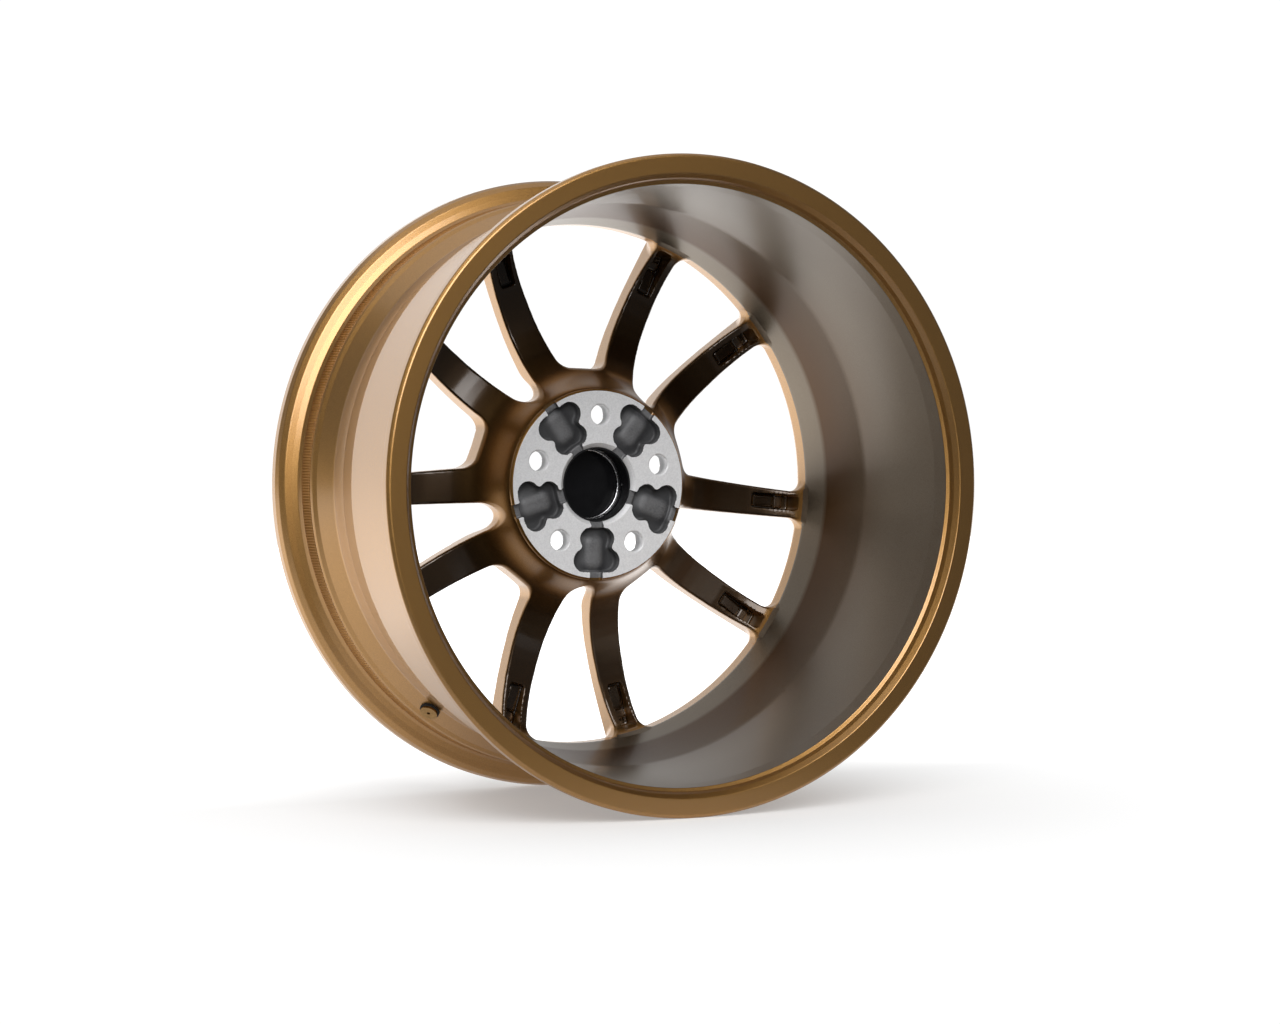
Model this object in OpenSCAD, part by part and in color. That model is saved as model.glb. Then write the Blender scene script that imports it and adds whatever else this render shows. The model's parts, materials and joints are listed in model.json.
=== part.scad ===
// Forged ten-spoke wheel for a five-bolt hub, with its centring sleeve,
// centre cap and clamp-in tyre valve.
// The axle lies along Y. +Y points inboard, towards the car, and +Z is up.
// The origin is on the axle, half way between the two flanges.
// Every piece is drawn around Z, with inboard up, and wheel_frame() lays it down.

/* [Rim] */
// Diameter at the bead seats, an 18 inch rim
bead_seat_d = 462; // [460:0.5:464]
// Nominal width between the flanges, 8.5 J
rim_width = 215.9; // [212:0.1:220]
// Height of a flange above its bead seat
flange_height = 17.3; // [16:0.1:18.5]
// Thickness of a flange, measured along the axle
flange_thickness = 15.5; // [13:0.1:17]
// Radius of the well, outside
well_r = 219.5; // [218.5:0.1:221]

/* [Hub] */
// Distance from the middle of the rim out to the mounting face
wheel_offset = 45; // [43:0.5:46]
// Diameter of the machined mounting face
pad_d = 153.5; // [151:0.5:154.5]
// Diameter of the centre bore in the forging
bore_d = 60; // [59.6:0.1:60.4]
// Thickness of the hub from its mounting face to its street face
hub_thickness = 27; // [25:0.5:28.5]
// Pitch circle of the wheel bolts
bolt_circle_d = 112; // [108:1:114.3]
// Diameter of each wheel bolt hole
bolt_hole_d = 16; // [13:0.5:16.5]
// Diameter of the well that holds a bolt head
bolt_well_d = 30; // [28:0.5:32]
// Depth of the cast pockets between the bolt holes
pocket_depth = 9; // [5:0.5:11]

/* [Spokes] */
// Number of bolt holes, and of twin spokes
bolt_count = 5; // [5:1:5]
// Turn of the spoke pattern about the axle, in degrees
clock_angle = -1.6; // [-36:0.1:36]
// Half angle between the sides of a narrow window
narrow_half_angle = 14.6; // [13.5:0.1:15.5]
// Half angle between the sides of a wide window
wide_half_angle = 24.5; // [23.5:0.1:25.2]
// Radius of the wall that closes the windows at the rim
window_end_r = 210; // [208:0.5:211]

/* [Centring sleeve] */
// Diameter of the car hub that the sleeve centres the wheel on
spigot_d = 57.1; // [56:0.1:57.5]
// Length of the sleeve
sleeve_length = 11; // [8:0.5:11]

/* [Centre cap] */
// Diameter of the cap's face
cap_d = 68; // [66:0.5:70]
// Thickness of the cap's face
cap_face = 3; // [2.5:0.1:3.5]
// Diameter of the plain insert in the cap's face
insert_d = 58; // [50:0.5:60]

/* [Valve] */
// Diameter of the valve hole through the rim
valve_hole_d = 11.3; // [11.1:0.1:11.5]
// Tilt of the valve from the radius, towards the street side
valve_tilt = 26.6; // [25:0.1:28]
// Travel of the valve's core pin
pin_travel = 1.2; // [0.8:0.1:1.4]

/* [Hidden] */

$fn = 96;
paint = [0.56, 0.40, 0.22];
machined = [0.82, 0.82, 0.84];
black = [0.05, 0.05, 0.05];
steel = [0.70, 0.70, 0.72];
brass = [0.78, 0.62, 0.30];

seat_r = bead_seat_d / 2;
half_w = rim_width / 2;
flange_r = seat_r + flange_height;
lip_y = half_w + flange_thickness;
pad_r = pad_d / 2;
pad_y = -wheel_offset;
bore_r = bore_d / 2;
hub_front_y = pad_y - hub_thickness;
bolt_step = 360 / bolt_count;
spoke_count = 2 * bolt_count;
spoke_sector = 360 / spoke_count;
first_bolt = 270 + clock_angle;
first_pocket = first_bolt + bolt_step / 2;
joint_r = 104;
well_front_y = -60;
well_back_y = -40;
cut_low = -lip_y - 1;
cut_high = pad_y + 5;

// The cut that lays the wheel down: the drawing's Z becomes the axle
module wheel_frame() {
    rotate([-90, 0, 0]) children();
}

// Points of an arc, from angle a to angle b
function arc(x, y, r, a, b, steps) =
    [for (i = [0 : steps]) [x + r * cos(a + (b - a) * i / steps),
                            y + r * sin(a + (b - a) * i / steps)]];
function flipped(points) =
    [for (i = [len(points) - 1 : -1 : 0]) [points[i][0], -points[i][1]]];

// ---- The rim ----

// The rim is drawn as three rings that meet at the flanges' feet. Each
// outline point is a radius and a place along the axle.
foot_y = half_w - 8.4;
foot_r = seat_r + 0.4;

// Outside of a flange, from its face in to the foot; side is 1 inboard, -1 outboard
function flange_outside(side) = [
    [flange_r - 2.2, side * lip_y],
    [flange_r, side * (lip_y - 2.2)],
    [flange_r, side * (half_w + 6)],
    [flange_r - 1.6, side * (half_w + 1.6)],
    [seat_r + 12, side * (half_w - 2)],
    [seat_r + 7, side * (half_w - 3.4)],
    [seat_r + 2.5, side * (half_w - 5.4)],
    [foot_r, side * foot_y]];

// Outside of a bead seat and its hump, from the foot to the edge of the slope
function seat_outside(side) = [
    [foot_r, side * foot_y],
    [seat_r - 1.1, side * (half_w - 25)],
    [seat_r + 0.6, side * (half_w - 27.3)],
    [seat_r - 0.6, side * (half_w - 29.6)],
    [seat_r - 3.2, side * (half_w - 32.5)]];
function backwards(points) = [for (i = [len(points) - 1 : -1 : 0]) points[i]];

window_edge_y = -76;
window_flat_y = -90;
lip_foot = [window_end_r + 5, -foot_y];
lip_slope = [window_end_r + 15, -foot_y - 9];
inner_foot_r = seat_r - 5.8;

module ring(points) {
    rotate_extrude($fn = 180) polygon(points);
}
module inboard_flange() {
    color(paint) wheel_frame() ring(concat(flange_outside(1), [
        [inner_foot_r, foot_y],
        [seat_r - 4.8, lip_y - 9.4],
        [seat_r - 2.2, lip_y - 8.2],
        [seat_r - 0.6, lip_y - 4.4],
        [seat_r + 2.4, lip_y]]));
}
module outboard_flange() {
    color(paint) wheel_frame() ring(concat(flange_outside(-1), [
        lip_foot,
        lip_slope,
        [seat_r - 2, -lip_y + 10],
        [seat_r + 4, -lip_y + 3],
        [seat_r + 9, -lip_y]]));
}
module rim_barrel() {
    color(paint) wheel_frame() difference() {
        ring(concat(
            seat_outside(1),
            [[seat_r - 4.4, -4], [well_r, well_back_y], [well_r, well_front_y]],
            backwards(seat_outside(-1)),
            [lip_foot, [window_end_r, window_flat_y], [window_end_r, window_edge_y],
             [window_end_r + 3.5, -50], [seat_r - 9.5, 0], [inner_foot_r, foot_y]]));
        along_valve() translate([0, 0, -12]) cylinder(d = valve_hole_d, h = 40, $fn = 48);
        along_valve() translate([0, 0, valve_wall]) cylinder(d = valve_pocket_d, h = 25, $fn = 48);
        along_valve() translate([0, 0, -12]) cylinder(d = spot_face_d, h = 12, $fn = 48);
    }
}

// ---- The windows between the spokes ----

// Both window outlines lie along X. A side line is all points whose distance
// from the window's axis line, square to the side, is side_gap.
window_corner_r = 10;
narrow_tip_r = 11.9;
narrow_tip_x = 94.4;
wide_base_x = 94;
wide_base_corner_r = 12;
wide_base_half = 11.4;
narrow_gap = narrow_tip_r - narrow_tip_x * sin(narrow_half_angle);
wide_gap = wide_base_corner_r + wide_base_half * cos(wide_half_angle)
    - (wide_base_x + wide_base_corner_r) * sin(wide_half_angle);

// The round corner between a side line and the window's outer end at radius end_r
function corner_across(gap) = gap - window_corner_r;
function corner_along(gap, end_r) =
    sqrt(pow(end_r - window_corner_r, 2) - pow(corner_across(gap), 2));
function corner_centre(half, gap, end_r) = [
    corner_along(gap, end_r) * cos(half) - corner_across(gap) * sin(half),
    corner_along(gap, end_r) * sin(half) + corner_across(gap) * cos(half)];
function outer_end(half, gap, end_r) =
    let (c = corner_centre(half, gap, end_r), a = atan2(c[1], c[0]))
    concat(arc(0, 0, end_r, 0, a, 8), arc(c[0], c[1], window_corner_r, a, 90 + half, 8));
function narrow_outline(end_r) = concat(
    outer_end(narrow_half_angle, narrow_gap, end_r),
    arc(narrow_tip_x, 0, narrow_tip_r, 90 + narrow_half_angle, 180, 8));
function wide_outline(end_r) = concat(
    outer_end(wide_half_angle, wide_gap, end_r),
    arc(wide_base_x + wide_base_corner_r, wide_base_half, wide_base_corner_r,
        90 + wide_half_angle, 180, 6));

module window_prism(half_outline, top) {
    translate([0, 0, cut_low])
        linear_extrude(top - cut_low) polygon(concat(half_outline, flipped(half_outline)));
}
// The cuts run a little past the wall that ends the windows, and on the street
// side of that wall's flat they reach further out, to the lip
wall_reach = window_end_r + 1;
lip_reach = window_end_r + 17;
module narrow_window() {
    window_prism(narrow_outline(wall_reach), cut_high);
    window_prism(narrow_outline(lip_reach), window_flat_y);
}
module wide_window() {
    window_prism(wide_outline(wall_reach), cut_high);
    window_prism(wide_outline(lip_reach), window_flat_y);
}

// ---- The hub ----

// The hub is a thick disc with the mounting face, and a flare round it that
// sinks back to the spokes. The two meet at the edge of the mounting face.
pad_step = 1.5;
disc_front_y = hub_front_y - 3.9;
disc_section = [
    [bore_r + 3.3, pad_y],
    [pad_r - 0.4, pad_y],
    [pad_r, pad_y - 0.4],
    [pad_r, disc_front_y],
    [76, -75],
    [72, hub_front_y],
    [bore_r + 0.8, hub_front_y],
    [bore_r, hub_front_y + 0.8],
    [bore_r, pad_y - 3.3]];
flare_section = [
    [pad_r, pad_y - pad_step],
    [pad_r + 1.4, pad_y - pad_step - 1],
    [pad_r + 3.2, -53],
    [pad_r + 5.7, -59.5],
    [pad_r + 9.2, -66.5],
    [pad_r + 13.2, -72.4],
    [pad_r + 18.2, -77.8],
    [joint_r, -84],
    [joint_r, -106.5],
    [98, -104],
    [93, -99.5],
    [89, -94],
    [84, -86],
    [80, -80],
    [pad_r, disc_front_y]];

// A cast pocket: two wide lobes outside, two narrow ones inside, and a channel
// that runs from the bore, through the pocket, out through the edge of the pad
lobe_out_r = 9.2;
lobe_out = [61, 11.2];
lobe_in_r = 8;
lobe_in = [43.4, 7.2];
channel_w = 11.2;
channel_depth = 4;
plinth = [17, 15];
plinth_height = 4;
module pocket_outline() {
    for (side = [-1, 1]) {
        translate([lobe_out[0], side * lobe_out[1]]) circle(lobe_out_r, $fn = 48);
        translate([lobe_in[0], side * lobe_in[1]]) circle(lobe_in_r, $fn = 48);
    }
    polygon([[lobe_out[0] + lobe_out_r, -lobe_out[1]],
             [lobe_out[0] + lobe_out_r, lobe_out[1]],
             [lobe_out[0] - 8, lobe_out[1] + 4.6],
             [lobe_in[0] + 3.6, lobe_in[1] + 7.1],
             [lobe_in[0] - lobe_in_r, lobe_in[1]],
             [lobe_in[0] - lobe_in_r, -lobe_in[1]],
             [lobe_in[0] + 3.6, -lobe_in[1] - 7.1],
             [lobe_out[0] - 8, -lobe_out[1] - 4.6]]);
}
module pocket() {
    difference() {
        translate([0, 0, pad_y - pocket_depth])
            linear_extrude(pocket_depth + 1) pocket_outline();
        translate([lobe_in[0], -plinth[1] / 2, pad_y - pocket_depth - 1])
            cube([plinth[0], plinth[1], plinth_height + 1]);
    }
}
module channel() {
    translate([bore_r - 2, -channel_w / 2, pad_y - channel_depth])
        cube([pad_r - bore_r + 8, channel_w, channel_depth + 1]);
}

seat_depth = 11;
seat_height = 7;
module bolt_hole() {
    translate([bolt_circle_d / 2, 0, hub_front_y - 40])
        cylinder(d = bolt_hole_d, h = 80, $fn = 48);
    translate([bolt_circle_d / 2, 0, pad_y - seat_depth - seat_height])
        cylinder(d1 = bolt_well_d - 6, d2 = bolt_hole_d, h = seat_height, $fn = 48);
    translate([bolt_circle_d / 2, 0, hub_front_y - 40])
        cylinder(d = bolt_well_d, h = 40 + hub_thickness - seat_depth - seat_height, $fn = 48);
}

snap_groove_y = -66;
module hub_centre() {
    color(machined) wheel_frame() difference() {
        rotate_extrude() polygon(disc_section);
        for (i = [0 : bolt_count - 1]) {
            rotate([0, 0, first_pocket + i * bolt_step]) {
                pocket();
                channel();
            }
            rotate([0, 0, first_bolt + i * bolt_step]) bolt_hole();
        }
        translate([0, 0, snap_groove_y - 1.2]) cylinder(r = bore_r + 0.8, h = 2.4);
    }
}
module hub_flare() {
    color(paint) wheel_frame() difference() {
        rotate_extrude() polygon(flare_section);
        for (i = [0 : bolt_count - 1]) {
            rotate([0, 0, first_pocket + i * bolt_step]) {
                narrow_window();
                channel();
            }
            rotate([0, 0, first_bolt + i * bolt_step]) wide_window();
        }
    }
}

// ---- The spokes ----

// Cross-section of a spoke along the radius: back face, rim end, street face
spoke_section = [
    [joint_r, -84],
    [110, -87.5],
    [120, -91.6],
    [130, -94.6],
    [140, -96],
    [150, -96.5],
    [165, -96.2],
    [180, -93.5],
    [190, -90.3],
    [200, -85.5],
    [206, -81],
    [window_end_r, window_edge_y],
    [window_end_r, window_flat_y],
    lip_foot,
    lip_slope,
    [206, -111],
    [190, -113],
    [170, -115],
    [150, -115.2],
    [130, -113.6],
    [116, -110.6],
    [joint_r, -106.5]];

// The lightening recess in the back of each spoke, next to the rim
recess_r = [169, 206];
recess_w = 13;
recess_corner = 2.5;
recess_floor = -101;
spoke_centre = 14.9;
module recess_cut() {
    corner_x = [recess_r[0] + recess_corner, recess_r[1] - recess_corner];
    corner_y = recess_w / 2 - recess_corner;
    translate([0, 0, recess_floor]) linear_extrude(40) {
        for (x = corner_x, side = [-1, 1])
            translate([x, side * corner_y]) circle(recess_corner, $fn = 24);
        translate([recess_r[0], -corner_y]) square([recess_r[1] - recess_r[0], 2 * corner_y]);
        translate([corner_x[0], -recess_w / 2]) square([corner_x[1] - corner_x[0], recess_w]);
    }
}

// One spoke of a pair, from the middle of a narrow window to the middle of a wide one
module half_pair() {
    difference() {
        rotate_extrude(angle = spoke_sector, $fn = 180) polygon(spoke_section);
        narrow_window();
        rotate([0, 0, spoke_sector]) wide_window();
        rotate([0, 0, spoke_centre]) recess_cut();
    }
}

// Spoke number n counts round from the first bolt hole; odd ones mirror even ones
module spoke(n) {
    pair_middle = first_pocket + floor((n - 1) / 2) * bolt_step;
    color(paint) wheel_frame() rotate([0, 0, pair_middle])
        mirror([0, n % 2, 0]) half_pair();
}

// ---- The centring sleeve and the centre cap ----

sleeve_y = pad_y - 3.8;
module centring_sleeve() {
    color(black) wheel_frame() translate([0, 0, sleeve_y - sleeve_length]) difference() {
        cylinder(r = bore_r, h = sleeve_length);
        translate([0, 0, -1]) cylinder(d = spigot_d, h = sleeve_length + 2);
    }
}

skirt_gap = 0.15;
skirt_r = bore_r - skirt_gap;
skirt_wall = 1.6;
skirt_top = -61;
cap_back_y = -68.5;
cap_slots = 6;
insert_depth = 1;
module centre_cap() {
    color(black) wheel_frame() difference() {
        union() {
            translate([0, 0, hub_front_y - cap_face]) cylinder(d1 = cap_d - 4, d2 = cap_d, h = cap_face);
            translate([0, 0, hub_front_y - 0.5]) cylinder(r = skirt_r, h = skirt_top - hub_front_y + 0.5);
        }
        translate([0, 0, cap_back_y]) cylinder(r = skirt_r - skirt_wall, h = 20);
        translate([0, 0, ring_y - ring_wire]) cylinder(r = ring_r + ring_wire, h = 2 * ring_wire);
        translate([0, 0, hub_front_y - cap_face - 1]) cylinder(d = insert_d, h = 1 + insert_depth);
        for (i = [0 : cap_slots - 1])
            rotate([0, 0, i * 360 / cap_slots])
                translate([skirt_r - 4, -1, cap_back_y + 3]) cube([8, 2, 20]);
    }
}

// The plain disc set into the cap's face
insert_dome = 1.2;
module cap_insert() {
    color(steel) wheel_frame() translate([0, 0, hub_front_y - cap_face + insert_depth])
        rotate([180, 0, 0]) {
            cylinder(d = insert_d, h = insert_depth);
            translate([0, 0, insert_depth]) cylinder(d1 = insert_d, d2 = insert_d - 6, h = insert_dome);
        }
}

// The steel wire ring that spreads the cap's skirt into the bore
ring_wire = 0.8;
ring_r = skirt_r - skirt_wall;
ring_y = -67;
module cap_spring_ring() {
    color(steel) wheel_frame() translate([0, 0, ring_y])
        rotate_extrude() translate([ring_r - ring_wire / 2, 0]) circle(ring_wire, $fn = 24);
}

// ---- The valve ----

// The valve stands square to the slope in front of the well, in the middle of a
// wide window. Its own Z runs from the tyre side of the rim inwards; zero is the
// outer surface of the slope.
valve_angle = first_bolt + 2 * bolt_step;
slope_mid = [(well_r + seat_r - 3.2) / 2, (well_front_y - half_w + 32.5) / 2];
spot_face_depth = 0.6;
spot_face_d = 16.6;
valve_wall = 4;
valve_pocket_d = 18;
module along_valve() {
    rotate([0, 0, valve_angle]) translate([slope_mid[0], 0, slope_mid[1]])
        rotate([0, -90 - valve_tilt, 0]) translate([0, 0, spot_face_depth]) children();
}
module valve_frame() {
    wheel_frame() along_valve() children();
}

stem_r = 4.9;
stem_top = 27;
thread_r = 3.85;
thread_top = 35;
core_seat = 22;
air_r = 1.4;
core_bore_r = 2.6;
grommet_t = 2.2;
washer_t = 1;
nut_h = 6;
module valve_stem() {
    color(machined) valve_frame() difference() {
        union() {
            translate([0, 0, -grommet_t - 2]) cylinder(r = 7, h = 2, $fn = 48);
            translate([0, 0, -grommet_t]) cylinder(r = stem_r, h = grommet_t + stem_top, $fn = 48);
            translate([0, 0, stem_top]) cylinder(r1 = stem_r, r2 = thread_r, h = 1, $fn = 48);
            translate([0, 0, stem_top + 1]) cylinder(r = thread_r, h = thread_top - stem_top - 1, $fn = 48);
        }
        translate([0, 0, -10]) cylinder(r = air_r, h = 60, $fn = 24);
        translate([0, 0, core_seat - 6]) cylinder(r = core_bore_r, h = 60, $fn = 32);
    }
}

// Rubber seal: a flange under the stem's head and a collar inside the hole
module valve_grommet() {
    color(black) valve_frame() difference() {
        union() {
            translate([0, 0, -grommet_t]) cylinder(r = 8, h = grommet_t, $fn = 48);
            cylinder(d = valve_hole_d, h = valve_wall, $fn = 48);
        }
        translate([0, 0, -grommet_t - 1]) cylinder(r = stem_r, h = 20, $fn = 48);
    }
}
module valve_washer() {
    color(steel) valve_frame() translate([0, 0, valve_wall]) difference() {
        cylinder(r = 8, h = washer_t, $fn = 48);
        translate([0, 0, -1]) cylinder(r = stem_r, h = washer_t + 2, $fn = 48);
    }
}
nut_across_flats = 14;
module valve_nut() {
    color(machined) valve_frame() translate([0, 0, valve_wall + washer_t]) difference() {
        cylinder(d = nut_across_flats / cos(30), h = nut_h, $fn = 6);
        translate([0, 0, -1]) cylinder(r = stem_r, h = nut_h + 2, $fn = 48);
    }
}

// The core: a screwed-in body, and a sprung pin that carries the seal
pin_r = 0.5;
seal_t = 1.2;
pin_head_t = 1;
spring_r = 1.0;
spring_wire = 0.18;
spring_turns = 6;
spring_low = core_seat + 2;
spring_high = core_seat + 9;
core_top = core_seat + 11.5;
// The pin stands proud of the body by half its travel
pin_top = core_top + pin_travel / 2;
pin_low = core_seat - seal_t - pin_head_t;
module valve_core_body() {
    color(brass) valve_frame() difference() {
        translate([0, 0, core_seat]) cylinder(r = core_bore_r, h = core_top - core_seat, $fn = 32);
        translate([0, 0, core_seat - 1]) cylinder(r = pin_r + 0.4, h = 20, $fn = 24);
        translate([0, 0, spring_low]) cylinder(r = 1.5, h = 20, $fn = 24);
    }
}
module valve_core_pin() {
    color(brass) valve_frame() {
        translate([0, 0, pin_low]) cylinder(r = 1.7, h = pin_head_t, $fn = 32);
        translate([0, 0, pin_low]) cylinder(r = pin_r, h = pin_top - pin_low, $fn = 24);
        translate([0, 0, spring_high]) cylinder(r = 1.2, h = 0.8, $fn = 24);
    }
}
module valve_core_seal() {
    color(black) valve_frame() translate([0, 0, core_seat - seal_t]) difference() {
        cylinder(r = 1.7, h = seal_t, $fn = 32);
        translate([0, 0, -1]) cylinder(r = pin_r, h = seal_t + 2, $fn = 24);
    }
}

// The spring is one tube swept along a helix
helix_steps = 12;
helix_sides = 8;
helix_rise = spring_high - spring_low - 2 * spring_wire;
function helix_ring(i) =
    let (turn = 360 * i / helix_steps,
         z = spring_low + spring_wire + helix_rise * i / (helix_steps * spring_turns))
    [for (s = [0 : helix_sides - 1])
        let (a = 360 * s / helix_sides, r = spring_r + spring_wire * cos(a))
        [r * cos(turn), r * sin(turn), z + spring_wire * sin(a)]];
module valve_core_spring() {
    rings = helix_steps * spring_turns;
    points = [for (i = [0 : rings], p = helix_ring(i)) p];
    walls = [for (i = [0 : rings - 1], s = [0 : helix_sides - 1])
        let (t = (s + 1) % helix_sides, a = i * helix_sides, b = a + helix_sides)
        [a + s, a + t, b + t, b + s]];
    first = [for (s = [helix_sides - 1 : -1 : 0]) s];
    last = [for (s = [0 : helix_sides - 1]) rings * helix_sides + s];
    color(steel) valve_frame() polyhedron(points, concat(walls, [first], [last]));
}

cap_low = stem_top + 2.5;
cap_high = thread_top + 3.5;
valve_cap_r = 5.2;
thread_gap = 0.08;
cap_grooves = 18;
module valve_cap() {
    color(machined) valve_frame() difference() {
        union() {
            translate([0, 0, cap_low]) cylinder(r = valve_cap_r, h = cap_high - cap_low - 1, $fn = 48);
            translate([0, 0, cap_high - 1]) cylinder(r1 = valve_cap_r, r2 = valve_cap_r - 1, h = 1, $fn = 48);
        }
        translate([0, 0, cap_low - 1])
            cylinder(r = thread_r + thread_gap, h = thread_top + seal_t + 1 - cap_low, $fn = 48);
        for (i = [0 : cap_grooves - 1])
            rotate([0, 0, i * 360 / cap_grooves])
                translate([valve_cap_r + 0.3, 0, cap_low + 1]) cylinder(r = 0.6, h = 5, $fn = 16);
    }
}
module valve_cap_seal() {
    color(black) valve_frame() translate([0, 0, thread_top]) difference() {
        cylinder(r = thread_r, h = seal_t, $fn = 32);
        translate([0, 0, -1]) cylinder(r = core_bore_r, h = seal_t + 2, $fn = 32);
    }
}

outboard_flange();
rim_barrel();
inboard_flange();
hub_centre();
hub_flare();
spoke(1);  // spoke_1
spoke(2);  // spoke_2
spoke(3);  // spoke_3
spoke(4);  // spoke_4
spoke(5);  // spoke_5
spoke(6);  // spoke_6
spoke(7);  // spoke_7
spoke(8);  // spoke_8
spoke(9);  // spoke_9
spoke(10);  // spoke_10
centring_sleeve();
centre_cap();
cap_insert();
cap_spring_ring();
valve_stem();
valve_grommet();
valve_washer();
valve_nut();
valve_core_body();
valve_core_pin();
valve_core_spring();
valve_core_seal();
valve_cap();
valve_cap_seal();
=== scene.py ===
"""Looks of the forged ten-spoke wheel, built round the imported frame.

The axle lies along Y, with +Y inboard. The forging is drawn in millimetres, round
its own axle: a radius r, an angle t measured from the middle of a narrow window,
and a place y along the axle.
"""
import json
import math

import bpy
import numpy as np
from mathutils import Matrix, Vector


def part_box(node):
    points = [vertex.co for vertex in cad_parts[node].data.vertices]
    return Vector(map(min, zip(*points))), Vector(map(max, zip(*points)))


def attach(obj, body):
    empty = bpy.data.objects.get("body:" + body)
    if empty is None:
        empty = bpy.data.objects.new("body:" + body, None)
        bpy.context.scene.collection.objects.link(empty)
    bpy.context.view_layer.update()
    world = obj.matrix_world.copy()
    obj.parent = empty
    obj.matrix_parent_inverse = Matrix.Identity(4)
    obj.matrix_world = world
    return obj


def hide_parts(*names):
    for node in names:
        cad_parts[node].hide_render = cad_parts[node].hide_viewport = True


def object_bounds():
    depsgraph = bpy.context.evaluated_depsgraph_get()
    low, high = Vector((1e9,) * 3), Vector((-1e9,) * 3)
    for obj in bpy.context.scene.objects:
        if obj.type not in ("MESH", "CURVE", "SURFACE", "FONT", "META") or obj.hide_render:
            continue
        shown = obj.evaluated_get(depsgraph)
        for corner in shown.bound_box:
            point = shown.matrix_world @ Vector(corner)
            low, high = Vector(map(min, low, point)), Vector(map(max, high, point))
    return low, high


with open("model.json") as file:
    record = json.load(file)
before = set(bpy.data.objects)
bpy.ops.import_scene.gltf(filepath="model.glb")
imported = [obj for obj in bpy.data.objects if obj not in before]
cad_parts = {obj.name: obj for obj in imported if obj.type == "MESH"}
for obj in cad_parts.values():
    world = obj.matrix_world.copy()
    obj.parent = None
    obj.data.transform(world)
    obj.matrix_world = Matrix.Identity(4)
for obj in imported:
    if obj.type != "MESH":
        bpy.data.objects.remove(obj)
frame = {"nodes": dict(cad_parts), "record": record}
cad_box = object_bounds()
mounts = {m["name"]: m for m in frame["record"]["mounts"]}
MM = 0.001


def top_corner(node):
    """A node's highest corner, in millimetres."""
    return [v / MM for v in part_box(node)[1]]


# ---- Driving dimensions, in millimetres ----

BOLTS = mounts["wheel_bolts"]["dims"]
BOLT_COUNT = BOLTS["count"]
BOLT_CIRCLE_R = BOLTS["pcd_mm"] / 2
BOLT_HOLE_R = BOLTS["hole_r_mm"]
PAD_Y = mounts["mounting_face"]["pos_m"][1] / MM
PAD_R = top_corner("hub_centre")[0]
FLANGE_R = top_corner("inboard_flange")[2]
LIP_Y = top_corner("inboard_flange")[1]
# Radius of the tyre seats, and half the nominal width, as part.scad has them
SEAT_R = 231.0
HALF_W = 107.95
HUB_FRONT_Y = PAD_Y - 27
BORE_R = 30.0
SECTOR = math.tau / BOLT_COUNT
CLOCK = math.radians(-1.6)
FIRST_POCKET = 1.5 * math.pi + CLOCK + SECTOR / 2

# ---- The forging's profiles ----


def smooth_curve(points, spread, step=0.25):
    """Samples a chain of points every step along its first value, corners rounded."""
    points = np.array(points)
    along = np.arange(points[0, 0], points[-1, 0] + step / 2, step)
    value = np.interp(along, points[:, 0], points[:, 1])
    reach = int(3 * spread / step)
    weight = np.exp(-0.5 * (np.arange(-reach, reach + 1) * step / spread) ** 2)
    padded = np.pad(value, reach, mode="reflect", reflect_type="odd")
    value = np.convolve(padded, weight / weight.sum(), mode="valid")
    slope = np.gradient(value, step)
    return along, value, 1 / np.sqrt(1 + slope**2)


# Inboard side of the hub's flare and the spokes: radius, place along the axle
BACK = smooth_curve([
    (20, -47), (76.8, -47), (78.2, -49), (79.9, -53), (82.5, -59.5), (86, -66.5),
    (90, -72.4), (95, -77.8), (104, -84), (110, -87.5), (120, -91.6), (130, -94.6),
    (140, -96), (150, -96.5), (165, -96.2), (180, -93.5), (190, -90.3), (200, -85.5),
    (206, -81), (210, -75), (213, -66), (240, 0)], 2.2)
# Street side of the hub and the spokes
STREET = smooth_curve([
    (20, HUB_FRONT_Y), (72, HUB_FRONT_Y), (76, -75), (80, -80), (84, -86), (89, -94),
    (93, -99.5), (98, -104), (104, -106.5), (116, -110.6), (130, -113.6), (150, -115.2),
    (170, -115), (190, -113), (206, -111), (225, -108.6), (240, -104)], 1.8)
# Inside of the rim: place along the axle, radius
WALL = smooth_curve([
    (-LIP_Y, 240), (-120.5, 235), (-113.5, 229), (-108.6, 225), (-99.6, 215), (-90, 210),
    (-76, 210), (-50, 213.5), (0, 221.5)], 0.9)

WINDOW_CORNER_R = 10.0
WINDOW_END_Y = -77.0
NARROW_HALF = math.radians(14.6)
NARROW_TIP_R = 11.9
NARROW_TIP_X = 94.4
NARROW_GAP = NARROW_TIP_R - NARROW_TIP_X * math.sin(NARROW_HALF)
WIDE_HALF = math.radians(24.5)
WIDE_BASE_X = 94.0
WIDE_BASE_HALF = 11.4
WIDE_BASE_R = 12.0
WIDE_GAP = (WIDE_BASE_R + WIDE_BASE_HALF * math.cos(WIDE_HALF)
            - (WIDE_BASE_X + WIDE_BASE_R) * math.sin(WIDE_HALF))
BACK_EDGE_R = 2.2
STREET_EDGE_NARROW = 6.0
STREET_EDGE_WIDE = 3.0

SPOKE_CENTRE = math.radians(14.9)
RECESS_MIDDLE = 187.5
RECESS_HALF = (18.5, 6.5)
RECESS_FLOOR = -101.0
RECESS_BLOCK_X = 6.0
RECESS_BLOCK_HALF = (9.5, 4.6)
RECESS_RAMP_X = 8.0
RECESS_RAMP_HALF = (3.4, 4.8)

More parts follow.
